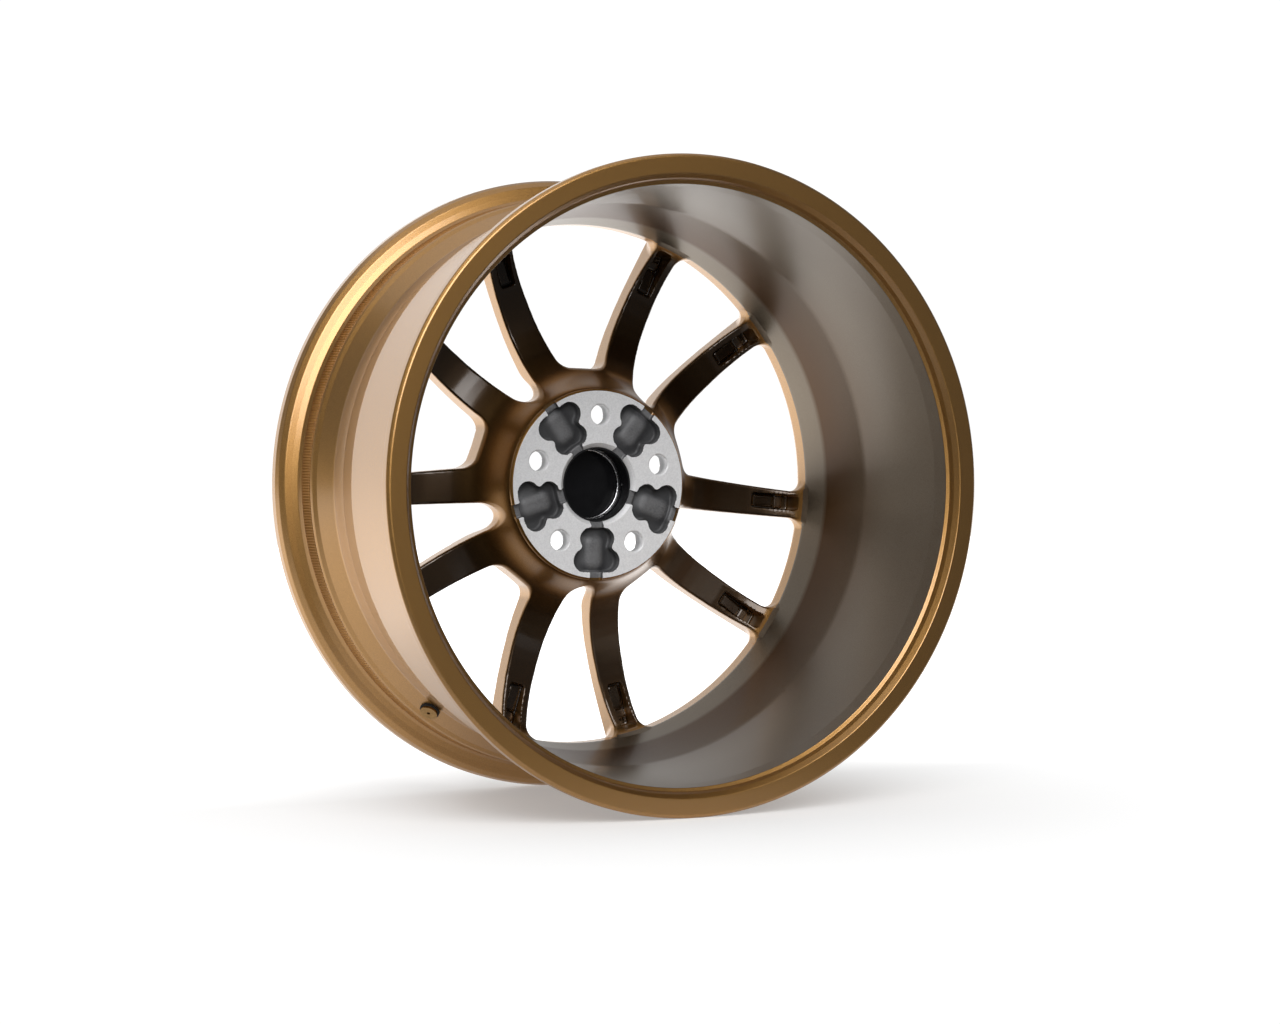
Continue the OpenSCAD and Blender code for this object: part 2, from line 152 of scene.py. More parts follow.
# Ridges along the outboard bead seat. Y is where they start and end, counted inboard
# from the nominal edge of the rim; SINK is their height over the seat's radius there
KNURL_COUNT = 660
KNURL_Y = (9.4, 23.6)
KNURL_SINK = (0.25, -0.85)
KNURL_HEIGHT = 0.45
KNURL_ROOT = 1.6

LOBE_OUT = (61.0, 11.2, 9.2)
LOBE_IN = (43.4, 7.2, 8.0)
POCKET_DEPTH = 9.0
PLINTH_MIDDLE = 55.0
PLINTH_HALF = (10.5, 5.2)
PLINTH_DEPTH = 4.2
PLINTH_SPREAD = 1.2
PAD_BEVEL = 1.6
CHANNEL_HALF = 5.6
CHANNEL_DEPTH = 4.0
BORE_CHAMFER = 3.3
SEAT_TOP = 11.0
SEAT_FOOT = 18.0
WELL_R = 15.0


# ---- Distances to the forging's surfaces, negative inside the metal or a cut ----


def round_max(a, b, c):
    """What lies in both a and b, with their shared edge rounded to radius c."""
    return np.minimum(np.maximum(a, b), -c) + np.hypot(np.maximum(a + c, 0), np.maximum(b + c, 0))


def round_min(a, b, c):
    """What lies in a or b, with a fillet of radius c between them."""
    return -round_max(-a, -b, c)


def box_2d(x, z, half, corner):
    return round_max(np.abs(x) - half[0], np.abs(z) - half[1], corner)


def narrow_window(x, z, r, end):
    side = z * math.cos(NARROW_HALF) - x * math.sin(NARROW_HALF) - NARROW_GAP
    along = (x - NARROW_TIP_X) * math.cos(NARROW_HALF) + z * math.sin(NARROW_HALF)
    tip = np.hypot(x - NARROW_TIP_X, z) - NARROW_TIP_R
    return np.where(along < 0, tip, round_max(side, r - end, WINDOW_CORNER_R))


def wide_window(x, z, r, end):
    side = z * math.cos(WIDE_HALF) - x * math.sin(WIDE_HALF) - WIDE_GAP
    dx = x - WIDE_BASE_X - WIDE_BASE_R
    dz = z - WIDE_BASE_HALF
    in_corner = (dz > 0) & (dx * math.cos(WIDE_HALF) + dz * math.sin(WIDE_HALF) < 0)
    base = np.maximum(side, WIDE_BASE_X - x)
    inner = np.where(in_corner, np.hypot(dx, dz) - WIDE_BASE_R, base)
    return round_max(inner, r - end, WINDOW_CORNER_R)


def spoke_recess(r, fold, y):
    x = r * np.cos(fold - SPOKE_CENTRE) - RECESS_MIDDLE
    z = r * np.sin(fold - SPOKE_CENTRE)
    pit = round_max(box_2d(x, z, RECESS_HALF, 2.5), RECESS_FLOOR - y, 1.5)
    low = y - RECESS_FLOOR
    block = round_max(box_2d(x + RECESS_BLOCK_X, z, RECESS_BLOCK_HALF, 1.0), low - 2.2, 0.6)
    ramp = box_2d(x - RECESS_RAMP_X, z, RECESS_RAMP_HALF, 1.0)
    ramp = round_max(ramp, (low - 3.0 - 0.3 * (x - RECESS_RAMP_X)) * 0.96, 0.8)
    return round_max(pit, -round_min(block, ramp, 0.5), 0.6)


def hub_pocket(x, z, y):
    lobes = round_min(np.hypot(x - LOBE_OUT[0], z - LOBE_OUT[1]) - LOBE_OUT[2],
                      np.hypot(x - LOBE_IN[0], z - LOBE_IN[1]) - LOBE_IN[2], 5.0)
    middle = box_2d(x - 52.8, z, (17.4, 11.0), 3.0)
    pit = round_max(round_min(lobes, middle, 1.5), PAD_Y - POCKET_DEPTH - y, 2.5)
    below = PAD_Y - PLINTH_DEPTH - y
    side = box_2d(x - PLINTH_MIDDLE, z, PLINTH_HALF, 3.5) - PLINTH_SPREAD * below
    plinth = round_max(side / math.hypot(1, PLINTH_SPREAD), -below, 2.4)
    return round_max(pit, -plinth, 2.2)


def bolt_hole(x, z, y):
    d = np.hypot(x - BOLT_CIRCLE_R, z)
    bore = d - BOLT_HOLE_R
    rim = (d - BOLT_HOLE_R - (y - PAD_Y + 1.0)) * 0.707
    slope = (WELL_R - 3 - BOLT_HOLE_R) / (SEAT_FOOT - SEAT_TOP)
    seat = (d - BOLT_HOLE_R - (PAD_Y - SEAT_TOP - y) * slope) * 0.868
    seat = np.maximum(seat, PAD_Y - SEAT_FOOT - 0.2 - y)
    well = np.maximum(d - WELL_R, y - PAD_Y + SEAT_FOOT)
    return np.minimum(np.minimum(bore, rim), np.minimum(seat, well))


def forging_parts(r, t, y):
    """The forging before its cuts, and each kind of cut, at points of the drawing."""
    fold = np.abs((t + SECTOR / 2) % SECTOR - SECTOR / 2)
    x, z = r * np.cos(fold), r * np.sin(fold)
    wide = SECTOR / 2 - fold
    xw, zw = r * np.cos(wide), r * np.sin(wide)
    end = np.interp(y, WALL[0], WALL[1])
    narrow_air = -narrow_window(x, z, r, end)
    wide_air = -wide_window(xw, zw, r, end)
    back = (y - np.interp(r, BACK[0], BACK[1])) * np.interp(r, BACK[0], BACK[2])
    street = (np.interp(r, STREET[0], STREET[1]) - y) * np.interp(r, STREET[0], STREET[2])
    body = np.maximum(
        np.maximum(round_max(back, narrow_air, BACK_EDGE_R), round_max(back, wide_air, BACK_EDGE_R)),
        np.maximum(round_max(street, narrow_air, STREET_EDGE_NARROW),
                   round_max(street, wide_air, STREET_EDGE_WIDE)))
    body = round_max(body, -spoke_recess(r, fold, y), 0.6)
    bevel = (r - PAD_R + y - PAD_Y + PAD_BEVEL) * 0.707
    pad = np.maximum(np.maximum(np.maximum(y - PAD_Y, r - PAD_R), bevel), PAD_Y - 20 - y)
    rim = (end - r) * np.interp(y, WALL[0], WALL[2])
    solid = np.minimum(np.minimum(body, pad), rim)
    channel = round_max(z - CHANNEL_HALF, PAD_Y - CHANNEL_DEPTH - y, 1.2)
    channel = np.maximum(channel, r - PAD_R - 8)
    cast = round_min(hub_pocket(x, z, y), channel, 1.5)
    bore = np.minimum(r - BORE_R, (r - BORE_R - BORE_CHAMFER - (y - PAD_Y)) * 0.707)
    drilled = np.minimum(bore, bolt_hole(xw, zw, y))
    return solid, cast, drilled


def forging(r, t, y):
    solid, cast, drilled = forging_parts(r, t, y)
    return np.maximum(solid, np.maximum(-cast, -drilled))


def slope_of(r, t, y, h=0.15):
    """Direction in which the distance grows: along the radius, round it, along y."""
    n = np.stack([forging(r + h, t, y) - forging(r - h, t, y),
                  forging(r, t + h / r, y) - forging(r, t - h / r, y),
                  forging(r, t, y + h) - forging(r, t, y - h)], axis=-1)
    return n / np.maximum(np.linalg.norm(n, axis=-1, keepdims=True), 1e-9)


# ---- Meshing the hub, the spokes and the wall at their ends ----

ANGLE_STEPS = 120
STEP_HUB, STEP_R, STEP_Y = 1.2, 1.62, 1.43
GRID_R = np.concatenate([np.arange(28.63, 79, STEP_HUB), np.arange(79.5, 232, STEP_R)])
GRID_T = -SECTOR / 2 + SECTOR * np.arange(ANGLE_STEPS) / ANGLE_STEPS
GRID_Y = np.arange(-118.27, -42, STEP_Y)
STEP_T = SECTOR / ANGLE_STEPS
SEAM_BARREL_Y = -60.0
SEAM_LIP_R = 229.5


def crossings(f, axis):
    """Grid edges along one axis that the surface crosses, and where on the edge."""
    if axis == 1:
        ahead = np.roll(f, -1, axis=1)
        here = f
    else:
        here = f[:-1] if axis == 0 else f[:, :, :-1]
        ahead = f[1:] if axis == 0 else f[:, :, 1:]
    i, k, j = np.nonzero((here < 0) != (ahead < 0))
    a, b = here[i, k, j], ahead[i, k, j]
    return i, k, j, a / (a - b), a < 0


def mesh_sector():
    """One sector of the surface: its points, and quads as cell and sector shift."""
    nr, nt, ny = len(GRID_R), ANGLE_STEPS, len(GRID_Y)
    f = forging(GRID_R[:, None, None], GRID_T[None, :, None], GRID_Y[None, None, :])
    f = np.broadcast_to(f, (nr, nt, ny))
    samples, quads = [], []
    for axis in range(3):
        i, k, j, share, low_inside = crossings(f, axis)
        r = GRID_R[i] + (share * (GRID_R[np.minimum(i + 1, nr - 1)] - GRID_R[i]) if axis == 0 else 0)
        t = GRID_T[k] + (share * STEP_T if axis == 1 else 0)
        y = GRID_Y[j] + (share * (GRID_Y[np.minimum(j + 1, ny - 1)] - GRID_Y[j]) if axis == 2 else 0)
        n = slope_of(r, t, y)
        corners = []
        for da, db in ((-1, -1), (0, -1), (0, 0), (-1, 0)):
            ci = i + (0 if axis == 0 else da)
            ck = k + (da if axis == 0 else (0 if axis == 1 else db))
            cj = j + (db if axis != 2 else 0)
            shift = np.where(ck < 0, -1, 0)
            ck = ck - shift * nt
            good = (ci >= 0) & (ci < nr - 1) & (cj >= 0) & (cj < ny - 1)
            cell = np.where(good, (ci * nt + ck) * ny + cj, -1)
            corners.append((cell, shift))
            samples.append((cell[good], r[good], (t - shift * SECTOR)[good], y[good], n[good]))
        cells = np.stack([c for c, _ in corners], axis=1)
        shifts = np.stack([s for _, s in corners], axis=1)
        turn = low_inside if axis != 1 else ~low_inside
        order = np.where(turn[:, None], [0, 1, 2, 3], [3, 2, 1, 0])
        cells = np.take_along_axis(cells, order, axis=1)
        shifts = np.take_along_axis(shifts, order, axis=1)
        whole = (cells >= 0).all(axis=1)
        quads.append((cells[whole], shifts[whole]))
    return place_points(samples), quads


def place_points(samples):
    """The point of each cell that best fits the planes which cross its edges."""
    cell = np.concatenate([s[0] for s in samples])
    ids, cell = np.unique(cell, return_inverse=True)
    ny = len(GRID_Y)
    j, k, i = ids % ny, ids // ny % ANGLE_STEPS, ids // ny // ANGLE_STEPS
    middle = GRID_T[k] + STEP_T / 2
    r, t, y = (np.concatenate([s[a] for s in samples]) for a in (1, 2, 3))
    n = np.concatenate([s[4] for s in samples])
    off = t - middle[cell]
    p = np.stack([r * np.cos(off), r * np.sin(off), y], axis=1)
    n = np.stack([n[:, 0] * np.cos(off) - n[:, 1] * np.sin(off),
                  n[:, 0] * np.sin(off) + n[:, 1] * np.cos(off), n[:, 2]], axis=1)
    count = np.bincount(cell)
    mean = np.stack([np.bincount(cell, p[:, a]) for a in range(3)], axis=1) / count[:, None]
    away = ((p - mean[cell]) * n).sum(axis=1)
    pull = np.stack([np.bincount(cell, away * n[:, a]) for a in range(3)], axis=1)
    spread = np.empty((len(ids), 3, 3))
    for a in range(3):
        for b in range(3):
            spread[:, a, b] = np.bincount(cell, n[:, a] * n[:, b])
    spread += 0.08 * np.eye(3)
    p = mean + np.linalg.solve(spread, pull[..., None])[..., 0]
    r = np.clip(np.hypot(p[:, 0], p[:, 1]), GRID_R[i], GRID_R[i + 1])
    t = middle + np.clip(np.arctan2(p[:, 1], p[:, 0]), -STEP_T / 2, STEP_T / 2)
    y = np.clip(p[:, 2], GRID_Y[j], GRID_Y[j + 1])
    return ids, np.stack([r, t, y], axis=1)


def to_row(r, t, y):
    """From the drawing to the shared frame, in metres."""
    a = FIRST_POCKET + t
    return np.stack([r * np.cos(a), y, -r * np.sin(a)], axis=-1) * MM


def turn_to_row(n, t):
    a = FIRST_POCKET + t
    return np.stack([n[..., 0] * np.cos(a) - n[..., 1] * np.sin(a), n[..., 2],
                     -n[..., 0] * np.sin(a) - n[..., 1] * np.cos(a)], axis=-1)


def make_mesh(name, points, faces, normals, material_index, materials, replaced):
    """A mesh object of quads, with a normal for each face corner."""
    used, faces = np.unique(faces, return_inverse=True)
    faces = faces.reshape(-1, 4)
    mesh = bpy.data.meshes.new(name)
    mesh.vertices.add(len(used))
    mesh.vertices.foreach_set("co", points[used].ravel())
    mesh.loops.add(faces.size)
    mesh.loops.foreach_set("vertex_index", faces.ravel().astype(np.int32))
    mesh.polygons.add(len(faces))
    mesh.polygons.foreach_set("loop_start", np.arange(0, faces.size, 4, dtype=np.int32))
    mesh.polygons.foreach_set("material_index", material_index.astype(np.int32))
    mesh.update(calc_edges=True)
    mesh.validate(clean_customdata=False)
    mesh.polygons.foreach_set("use_smooth", np.ones(len(mesh.polygons), dtype=bool))
    for material in materials:
        mesh.materials.append(material)
    mesh.normals_split_custom_set(normals.reshape(-1, 3))
    piece = bpy.data.objects.new(name, mesh)
    bpy.context.collection.objects.link(piece)
    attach(piece, "wheel")
    if replaced:
        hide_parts(*replaced)
    return piece


PAINT, MACHINED, CAST, BARREL = 0, 1, 2, 3


def surface_kind(r, t, y):
    """Which finish the forging has at a point: paint, machined or bare cast."""
    solid, cast, drilled = forging_parts(r, t, y)
    deepest = np.maximum(solid, np.maximum(-cast, -drilled))
    kind = np.where((-cast >= deepest - 0.05) & (r < PAD_R - PAD_BEVEL), CAST, PAINT)
    # The wall near the spoke ends takes the copy of the paint with painted reflection and shade
    kind = np.where((r > 208) & (y > WINDOW_END_Y), BARREL, kind)
    cut = (-drilled >= deepest - 0.05) & (y > HUB_FRONT_Y + 0.6)
    return np.where(cut | ((y > PAD_Y - 0.35) & (r < PAD_R - PAD_BEVEL)), MACHINED, kind)


def build_forging_centre(materials):
    (ids, cyl), quads = mesh_sector()
    cells = np.concatenate([q[0] for q in quads])
    shifts = np.concatenate([q[1] for q in quads])
    index = np.searchsorted(ids, cells)
    r, t, y = (cyl[index, a] for a in range(3))
    t = t + shifts * SECTOR
    ring_y = GRID_Y[np.searchsorted(GRID_Y, SEAM_BARREL_Y)]
    ring_r = GRID_R[np.searchsorted(GRID_R, SEAM_LIP_R)]
    keep = ~((r.mean(axis=1) > 205) & (y.max(axis=1) > ring_y)) & (r.max(axis=1) < ring_r)
    index, shifts, r, t, y = index[keep], shifts[keep], r[keep], t[keep], y[keep]
    mid = [v.mean(axis=1) for v in (r, t, y)]
    kind = surface_kind(*mid)
    pull = 0.3
    inner = [v + pull * (m[:, None] - v) for v, m in zip((r, t, y), mid)]
    n = slope_of(*inner, h=0.1)
    count = len(ids)
    points, faces, normals = [], [], []
    for s in range(BOLT_COUNT):
        points.append(to_row(cyl[:, 0], cyl[:, 1] + s * SECTOR, cyl[:, 2]))
        faces.append(index + ((s + shifts) % BOLT_COUNT) * count)
        normals.append(turn_to_row(n, inner[1] + s * SECTOR))
    points, faces, normals = (np.concatenate(v) for v in (points, faces, normals))
    kinds = np.tile(kind, BOLT_COUNT)
    spokes = np.tile(mid[0] > 104, BOLT_COUNT)
    make_mesh("forging_hub", points, faces[~spokes], normals[~spokes], kinds[~spokes],
              materials, ["hub_centre", "hub_flare"])
    names = [f"spoke_{n + 1}" for n in range(2 * BOLT_COUNT)]
    make_mesh("forging_spokes", points, faces[spokes], normals[spokes], kinds[spokes],
              materials, names)
    seam = (cyl[:, 0] > 205) & (cyl[:, 2] > ring_y - STEP_Y) & (cyl[:, 2] < ring_y)
    lip = (cyl[:, 0] > ring_r - STEP_R) & (cyl[:, 0] < ring_r) & (cyl[:, 2] < -105)
    return cyl[seam, 0].mean(), cyl[seam, 2].mean(), cyl[lip, 0].mean(), cyl[lip, 2].mean()


# ---- The rim, turned round the axle ----


def rounded(points, steps=6):
    """A chain with its corners rounded: each point is r, y and the corner's radius.

    Gives the points, and for each stretch between two of them the two normals."""
    chain, normals = [], []
    p = np.array([q[:2] for q in points])
    for i, (_, _, radius) in enumerate(points):
        if radius == 0 or i in (0, len(points) - 1):
            chain.append((p[i], p[i], p[i]))
            continue
        a, b = p[i - 1] - p[i], p[i + 1] - p[i]
        la, lb = np.linalg.norm(a), np.linalg.norm(b)
        a, b = a / la, b / lb
        half = math.acos(np.clip(a @ b, -1, 1)) / 2
        reach = min(radius / math.tan(half), 0.48 * la, 0.48 * lb)
        chain.append((p[i] + a * reach, p[i], p[i] + b * reach))
    out = [chain[0][2]]
    for before, (start, corner, stop) in zip(chain, chain[1:]):
        way = start - before[2]
        way = way / max(np.linalg.norm(way), 1e-9)
        out.append(start)
        flat = np.array([-way[1], way[0]])
        normals.append((flat, flat))
        if np.linalg.norm(stop - start) < 1e-9:
            continue
        after = (stop - corner) / np.linalg.norm(stop - corner)
        for s in range(1, steps + 1):
            u = s / steps
            out.append((1 - u) ** 2 * start + 2 * u * (1 - u) * corner + u**2 * stop)
            ends = []
            for v in ((s - 1) / steps, u):
                d = (1 - v) * way + v * after
                d = d / np.linalg.norm(d)
                ends.append(np.array([-d[1], d[0]]))
            normals.append(tuple(ends))
    return np.array(out), np.array(normals)


def ring_faces(rows, segments):
    """Quads between one ring of points and the next, for each row given."""
    rows = rows[:, None] * segments
    here = np.arange(segments)[None, :]
    ahead = (here + 1) % segments
    return np.stack([rows + here, rows + segments + here, rows + segments + ahead, rows + ahead],
                    axis=-1).reshape(-1, 4)


def turned(name, outline, normals, stretch_kinds, materials, replaced):
    """Turns an outline round the axle, in step with the forging's own mesh."""
    segments = BOLT_COUNT * ANGLE_STEPS
    angles = STEP_T / 2 + math.tau * np.arange(segments) / segments
    r, a = np.meshgrid(outline[:, 0], angles, indexing="ij")
    y = np.repeat(outline[:, 1:2], segments, axis=1)
    points = to_row(r.ravel(), a.ravel(), y.ravel())
    faces = ring_faces(np.arange(len(outline) - 1), segments)
    n = np.zeros((len(outline) - 1, segments, 4, 3))
    for corner, (end, nxt) in enumerate(((0, 0), (1, 0), (1, 1), (0, 1))):
        n[:, :, corner, 0] = normals[:, end, 0][:, None]
        n[:, :, corner, 2] = normals[:, end, 1][:, None]
        t = angles[(np.arange(segments) + nxt) % segments]
        n[:, :, corner] = turn_to_row(n[:, :, corner], t[None, :])
    kinds = np.repeat(stretch_kinds, segments)
    return make_mesh(name, points, faces, n.reshape(-1, 3), kinds, materials, replaced)


def flange_outside(side):
    """From the flange's face in to the hump's slope, outside; side is 1 inboard."""
    return [
        (FLANGE_R - 2.2, side * LIP_Y, 2.2), (FLANGE_R, side * (LIP_Y - 2.2), 2.2),
        (FLANGE_R, side * (HALF_W + 6), 2.5), (FLANGE_R - 1.6, side * (HALF_W + 1.6), 3),
        (SEAT_R + 12, side * (HALF_W - 2), 3), (SEAT_R + 7, side * (HALF_W - 3.4), 3),
        (SEAT_R + 2.5, side * (HALF_W - 5.4), 2), (SEAT_R + 0.4, side * (HALF_W - 8.4), 2)]


def hump(side):
    return [
        (SEAT_R - 1.1, side * (HALF_W - 25), 1.5), (SEAT_R + 0.6, side * (HALF_W - 27.3), 1.5),
        (SEAT_R - 0.6, side * (HALF_W - 29.6), 2), (SEAT_R - 3.2, side * (HALF_W - 32.5), 3)]


def build_rim(seam, materials):
    barrel_r, barrel_y, lip_r, lip_y = seam
    outline = [(barrel_r, barrel_y, 0), (213.5, -50, 20), (221.5, 0, 60),
               (225.2, HALF_W - 8.4, 2), (226.2, LIP_Y - 9.4, 1.0), (228.8, LIP_Y - 8.2, 1.0),
               (230.4, LIP_Y - 4.4, 1.5), (233.4, LIP_Y, 1.2)]
    outline += flange_outside(1) + hump(1)
    outline += [(SEAT_R - 4.4, -4, 4), (219.5, -40, 6), (219.5, -60, 6)]
    outline += hump(-1)[::-1] + flange_outside(-1)[::-1]
    outline += [(240, -LIP_Y, 1.5), (235, -120.5, 2), (229.2, -113.8, 3), (lip_r, lip_y, 0)]
    points, normals = rounded(outline)
    # The inside of the rim takes the copy of the paint with painted reflection and shade
    inside = np.cumsum(points[:-1, 1] > LIP_Y - 9.5) == 0
    turned("forging_rim", points, normals, np.where(inside, BARREL, PAINT), materials,
           ["rim_barrel", "inboard_flange", "outboard_flange"])


def build_knurl(materials):
    """The fine axial ridges on the outboard bead seat, a closed band let into it."""
    edge, middle = (y - HALF_W for y in KNURL_Y)
    outline = np.array([
        (SEAT_R - KNURL_ROOT, edge), (SEAT_R + KNURL_SINK[0], edge), (SEAT_R + KNURL_SINK[1], middle),
        (SEAT_R - KNURL_ROOT, middle), (SEAT_R - KNURL_ROOT, edge)])
    segments = 2 * KNURL_COUNT
    angles = math.tau * np.arange(segments) / segments
    raised = np.array([0, 1, 1, 0, 0])[:, None] * (np.arange(segments) % 2) * KNURL_HEIGHT
    r = outline[:, :1] + raised
    y = np.repeat(outline[:, 1:], segments, axis=1)
    points = to_row(r.ravel(), np.tile(angles, len(outline)), y.ravel())
    faces = ring_faces(np.arange(len(outline) - 1), segments)
    last = (len(outline) - 1) * segments
    faces = np.where(faces >= last, faces - last, faces)
    corner = points[faces]
    flat = np.cross(corner[:, 1] - corner[:, 0], corner[:, 3] - corner[:, 0])
    flat = flat / np.linalg.norm(flat, axis=1, keepdims=True)
    normals = np.repeat(flat[:, None], 4, axis=1)
    make_mesh("bead_seat_knurl", points, faces, normals, np.zeros(len(faces), dtype=int),
              materials, [])


# ---- Materials ----


class Shader:
    """A Principled material with a few helpers for its pattern nodes."""

    def __init__(self, name, **values):
        self.material = bpy.data.materials.new(name)
        self.material.use_nodes = True
        self.tree = self.material.node_tree
        self.surface = self.tree.nodes["Principled BSDF"]
        for key, value in values.items():
            self.surface.inputs[key.replace("_", " ")].default_value = value
        coordinates = self.node("TexCoord").outputs
        self.place, self.shape_normal = coordinates["Object"], coordinates["Normal"]

    def node(self, kind, **settings):
        made = self.tree.nodes.new("ShaderNode" + kind)
        for key, value in settings.items():
            if hasattr(made, key):
                setattr(made, key, value)
            else:
                made.inputs[key.replace("_", " ")].default_value = value
        return made

    def link(self, source, target):
        self.tree.links.new(source, target)

    def noise(self, scale, detail=2.0, place=None):
        made = self.node("TexNoise", Scale=scale, Detail=detail)
        self.link(place or self.place, made.inputs["Vector"])
        return made.outputs["Fac"]

    def math(self, operation, a, b=0.5):
        made = self.node("Math", operation=operation)
        for socket, value in zip(made.inputs, (a, b)):
            if isinstance(value, (int, float)):
                socket.default_value = value
            else:
                self.link(value, socket)
        return made.outputs[0]

    def stretch(self, value, low, high, to_low, to_high, way="LINEAR"):
        made = self.node("MapRange", interpolation_type=way)
        made.inputs["From Min"].default_value = low
        made.inputs["From Max"].default_value = high
        made.inputs["To Min"].default_value = to_low
        made.inputs["To Max"].default_value = to_high
        self.link(value, made.inputs["Value"])
        return made.outputs["Result"]

    def part(self, vector, axis):
        made = self.node("SeparateXYZ")
        self.link(vector, made.inputs[0])
        return made.outputs[axis]

    def mix(self, share, a, b):
        made = self.node("Mix", data_type="RGBA")
        for socket, value in ((made.inputs[6], a), (made.inputs[7], b)):
            if isinstance(value, tuple):
                socket.default_value = (*value, 1.0)
            else:
                self.link(value, socket)
        self.link(share, made.inputs[0])
        return made.outputs[2]

    def colour(self, socket):
        self.link(socket, self.surface.inputs["Base Color"])

    def roughness(self, socket):
        self.link(socket, self.surface.inputs["Roughness"])

    def bump(self, height, distance, strength=1.0):
        made = self.node("Bump", Distance=distance, Strength=strength)
        self.link(height, made.inputs["Height"])
        previous = self.surface.inputs["Normal"].links
        if previous:
            self.link(previous[0].from_socket, made.inputs["Normal"])
        self.link(made.outputs["Normal"], self.surface.inputs["Normal"])

    def radius(self):
        """Distance from the axle."""
        flat = self.node("VectorMath", operation="MULTIPLY")
        flat.inputs[1].default_value = (1, 0, 1)
        self.link(self.place, flat.inputs[0])
        length = self.node("VectorMath", operation="LENGTH")
        self.link(flat.outputs[0], length.inputs[0])
        return length.outputs["Value"]


def metallic_paint(name, dark, light, cloudy, lacquer):
    """Metal flakes under lacquer; the lacquer's skin is slightly uneven."""
    s = Shader(name, Metallic=1.0, Coat_Weight=lacquer, Coat_Roughness=0.2, Coat_IOR=1.7)
    flakes = s.noise(2600, 1.0)
    cloud = s.noise(18, 3.0)
    peel = s.noise(420, 2.0)
    base = s.mix(s.stretch(flakes, 0.3, 0.7, 0, 1), dark, light)
    base = s.mix(s.stretch(cloud, 0.3, 0.7, 0, 0.35), base, cloudy)
    s.roughness(s.stretch(flakes, 0.3, 0.7, 0.36, 0.50))
    s.bump(flakes, 0.00003, 0.25)
    s.bump(peel, 0.00006, 0.35)
    return s, base


def bronze_paint():
    """Painted shade: darker on the inboard faces of the spokes and the flare, more so further in, to
    match the photograph.

    The darkening is painted shade, not a colour of the paint itself. Whether that is paint or only
    light there isn't known; report.md says so.
    """
    s, base = metallic_paint("bronze_paint", (0.28, 0.14, 0.036), (0.52, 0.28, 0.080),
                             (0.38, 0.20, 0.06), 0.65)
    # Painted shade: faces turned inboard darken, from the flare out along the spokes, but not the
    # barrel's wall
    facing = s.stretch(s.part(s.shape_normal, "Y"), 0.1, 0.7, 0, 1)
    depth = s.part(s.place, "Y")
    spoke = s.stretch(depth, (PAD_Y - 22) * MM, (PAD_Y - 42) * MM, 0.55, 0.93)
    flare = s.stretch(depth, (PAD_Y - 2) * MM, (PAD_Y - 4) * MM, 0, 1)
    inner = s.stretch(s.radius(), 0.204, 0.209, 1, 0)
    facing = s.math("MULTIPLY", facing, inner)
    shade = s.math("MULTIPLY", s.math("MULTIPLY", spoke, flare), facing)
    base = s.mix(shade, base, (0.016, 0.007, 0.002))
    # Painted shade: the floors of the spoke recesses, turned inboard, go nearly black
    pit = s.stretch(depth, (RECESS_FLOOR + 3.2) * MM, (RECESS_FLOOR + 1.2) * MM, 0, 0.9)
    s.colour(s.mix(s.math("MULTIPLY", pit, facing), base, (0.002, 0.001, 0.0005)))
    return s.material


def barrel_paint_and_shade():
    """A darker, greyer copy of the bronze paint, as painted reflection and shade, with a brown band
    of painted shade near the spokes, to match the photograph.
    """
    # Painted reflection and shade: the same paint made darker and greyer inside the barrel
    s, base = metallic_paint("barrel_paint_and_shade", (0.13, 0.10, 0.07), (0.22, 0.18, 0.13),
                             (0.16, 0.12, 0.08), 0.25)
    depth = s.part(s.place, "Y")
    # Painted shade: a dark brown band near the spoke ends, fading inboard
    turn_in = s.stretch(depth, -0.05, 0.05, 0.95, 0, "SMOOTHSTEP")
    past = s.stretch(depth, -0.053, -0.047, 0, 1)
    s.colour(s.mix(s.math("MULTIPLY", turn_in, past), base, (0.075, 0.032, 0.006)))
    return s.material


def machined_aluminium():
    s = Shader("machined_face", Metallic=0.25)
    rings = s.math("SINE", s.math("MULTIPLY", s.radius(), math.tau / 0.00055), 0)
    grain = s.noise(900, 4.0)
    speck = s.noise(160, 3.0)
    tone = s.mix(s.stretch(grain, 0.3, 0.7, 0, 1), (0.74, 0.74, 0.75), (0.86, 0.86, 0.87))
    tone = s.mix(s.stretch(speck, 0.62, 0.8, 0, 0.25), tone, (0.45, 0.45, 0.46))
    # Painted shade: the bolt holes, their seats and the bore's chamfer darken the further they go
    # below the pad
    painted_depth_shade = s.stretch(s.part(s.place, "Y"), (PAD_Y - 1) * MM, (PAD_Y - 7) * MM, 0, 0.75)
    s.colour(s.mix(painted_depth_shade, tone, (0.16, 0.16, 0.165)))
    s.roughness(s.stretch(grain, 0.3, 0.7, 0.42, 0.58))
    s.bump(rings, 0.00002, 0.3)
    s.bump(grain, 0.00003, 0.3)
    return s.material


